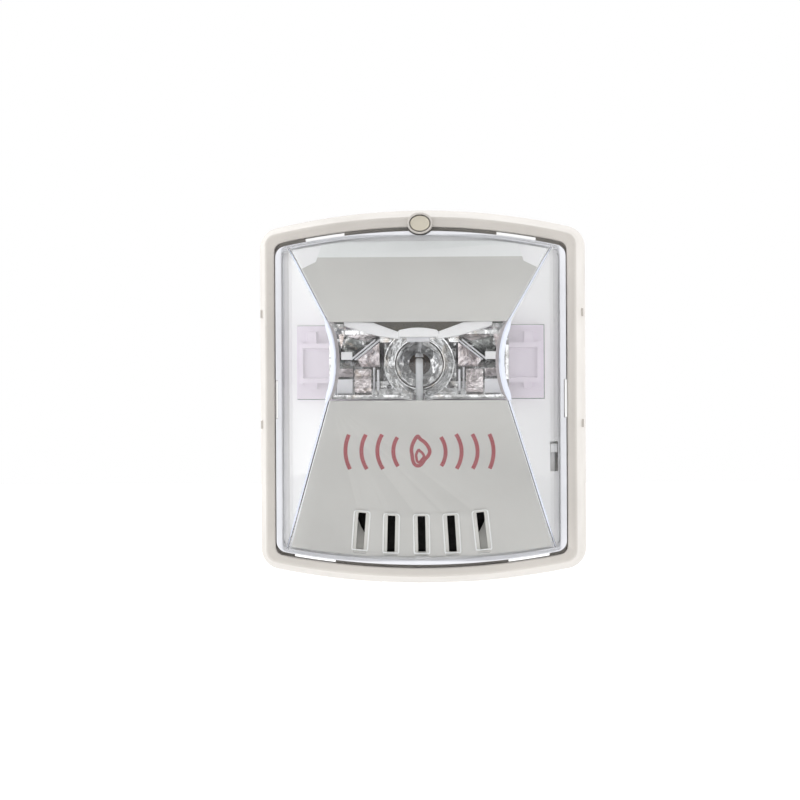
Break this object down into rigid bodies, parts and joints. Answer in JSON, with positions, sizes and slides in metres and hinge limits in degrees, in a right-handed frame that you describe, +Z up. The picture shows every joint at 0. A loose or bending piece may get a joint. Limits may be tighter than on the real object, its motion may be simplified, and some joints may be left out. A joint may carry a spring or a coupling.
{
  "type": "horn strobe",
  "caption": "Wall-mounted fire alarm horn strobe with a flared bezel, a clear lens over an hourglass panel, a xenon flash tube in a bright reflector, and a slotted horn.",
  "frame": {"origin": "centre of the mounting plate's rear face, on the wall plane", "axes": "+Z up along the wall, +Y into the wall, the front faces -Y, +X to the right of someone facing the appliance"},
  "size_m": [0.116, 0.056, 0.1328],
  "materials": {
    "housing": "fine moulded texture, greige",
    "panel": "satin moulded, greige",
    "lens": "clear polycarbonate, polished",
    "reflector": "vacuum-metallised, mirror bright",
    "tube_glass": "quartz tube, lightly frosted",
    "steel": "zinc plated",
    "brass": "tinned and plain brass",
    "black_plastic": "matte black",
    "screen": "black acoustic mesh",
    "gasket": "grey-green silicone",
    "board": "green solder mask",
    "capacitor": "dark blue sleeve",
    "ferrite": "dark moulded",
    "copper": "enamelled wire",
    "red_plastic": "red",
    "slider_plastic": "white",
    "plate": "moulded, light greige",
    "cover": "moulded, light greige",
    "cap": "smooth plug, slightly warmer than the housing"
  },
  "bodies": {
    "wall_plate": {"mounting_plate": "plate", "terminal_block": "black_plastic", "contact_clip_1": "brass", "contact_clip_2": "brass", "contact_clip_3": "brass", "contact_clip_4": "brass"},
    "front_unit": {"front_housing": "housing", "clear_lens": "lens", "hourglass_panel": "panel", "lens_gasket": "gasket", "strobe_reflector": "reflector", "flash_tube": "tube_glass", "tube_grommet": "gasket", "electrode_cap": "steel", "electrode_lead": "steel", "horn_cup": "black_plastic", "piezo_disc": "brass", "horn_screen": "screen", "circuit_board": "board", "storage_capacitor": "capacitor", "inductor_core": "ferrite", "inductor_winding_left": "copper", "inductor_winding_right": "copper", "trigger_coil": "ferrite", "controller_chip": "ferrite", "pin_header": "black_plastic", "contact_pin_1": "brass", "contact_pin_2": "brass", "contact_pin_3": "brass", "contact_pin_4": "brass", "tone_switch": "black_plastic", "volume_switch": "black_plastic", "candela_switch": "black_plastic", "rear_cover": "cover", "cover_screw_1": "steel", "cover_screw_2": "steel", "cover_screw_3": "steel", "cover_screw_4": "steel"},
    "captive_washer": {"retaining_washer": "steel"},
    "captive_screw_body": {"captive_screw": "steel"},
    "cap_plug": {"screw_cap": "cap"},
    "tone_knob": {"tone_slider": "red_plastic"},
    "volume_knob": {"volume_slider": "slider_plastic"},
    "candela_knob": {"candela_slider": "red_plastic"},
    "clamp_1": {"clamp_plate_1": "steel"},
    "terminal_1": {"terminal_screw_1": "brass"},
    "clamp_2": {"clamp_plate_2": "steel"},
    "terminal_2": {"terminal_screw_2": "brass"},
    "clamp_3": {"clamp_plate_3": "steel"},
    "terminal_3": {"terminal_screw_3": "brass"},
    "clamp_4": {"clamp_plate_4": "steel"},
    "terminal_4": {"terminal_screw_4": "brass"}
  },
  "joints": [
    {"name": "unit_swing", "type": "hinge", "parent": "wall_plate", "child": "front_unit", "pos_m": [0, -0.0032, -0.064], "axis": [1, 0, 0], "range_deg": [0, 25]},
    {"name": "captive_screw_travel", "type": "slide", "parent": "front_unit", "child": "captive_washer", "axis": [0, -1, 0], "range_m": [0, 0.00476]},
    {"name": "captive_screw_turn", "type": "hinge", "parent": "captive_washer", "child": "captive_screw_body", "pos_m": [0, -0.012, 0.0607], "axis": [0, -1, 0], "range_deg": [0, 2160]},
    {"name": "screw_cap_pull", "type": "slide", "parent": "front_unit", "child": "cap_plug", "axis": [0, -1, 0], "range_m": [0, 0.003]},
    {"name": "tone_select", "type": "slide", "parent": "front_unit", "child": "tone_knob", "axis": [1, 0, 0], "range_m": [0, 0.0032]},
    {"name": "volume_select", "type": "slide", "parent": "front_unit", "child": "volume_knob", "axis": [1, 0, 0], "range_m": [0, 0.0032]},
    {"name": "candela_select", "type": "slide", "parent": "front_unit", "child": "candela_knob", "axis": [0, 0, -1], "range_m": [0, 0.006]},
    {"name": "terminal_travel_1", "type": "slide", "parent": "wall_plate", "child": "clamp_1", "axis": [0, -1, 0], "range_m": [0, 0.0015]},
    {"name": "terminal_turn_1", "type": "hinge", "parent": "clamp_1", "child": "terminal_1", "pos_m": [-0.0165, -0.008, 0.001], "axis": [0, -1, 0], "range_deg": [0, 1080]},
    {"name": "terminal_travel_2", "type": "slide", "parent": "wall_plate", "child": "clamp_2", "axis": [0, -1, 0], "range_m": [0, 0.0015]},
    {"name": "terminal_turn_2", "type": "hinge", "parent": "clamp_2", "child": "terminal_2", "pos_m": [-0.0055, -0.008, 0.001], "axis": [0, -1, 0], "range_deg": [0, 1080]},
    {"name": "terminal_travel_3", "type": "slide", "parent": "wall_plate", "child": "clamp_3", "axis": [0, -1, 0], "range_m": [0, 0.0015]},
    {"name": "terminal_turn_3", "type": "hinge", "parent": "clamp_3", "child": "terminal_3", "pos_m": [0.0055, -0.008, 0.001], "axis": [0, -1, 0], "range_deg": [0, 1080]},
    {"name": "terminal_travel_4", "type": "slide", "parent": "wall_plate", "child": "clamp_4", "axis": [0, -1, 0], "range_m": [0, 0.0015]},
    {"name": "terminal_turn_4", "type": "hinge", "parent": "clamp_4", "child": "terminal_4", "pos_m": [0.0165, -0.008, 0.001], "axis": [0, -1, 0], "range_deg": [0, 1080]}
  ],
  "couplings": [
    {"joint": "captive_screw_turn", "follows": "captive_screw_travel", "rad_per_m": 7920},
    {"joint": "terminal_turn_1", "follows": "terminal_travel_1", "rad_per_m": 12566},
    {"joint": "terminal_turn_2", "follows": "terminal_travel_2", "rad_per_m": 12566},
    {"joint": "terminal_turn_3", "follows": "terminal_travel_3", "rad_per_m": 12566},
    {"joint": "terminal_turn_4", "follows": "terminal_travel_4", "rad_per_m": 12566}
  ]
}
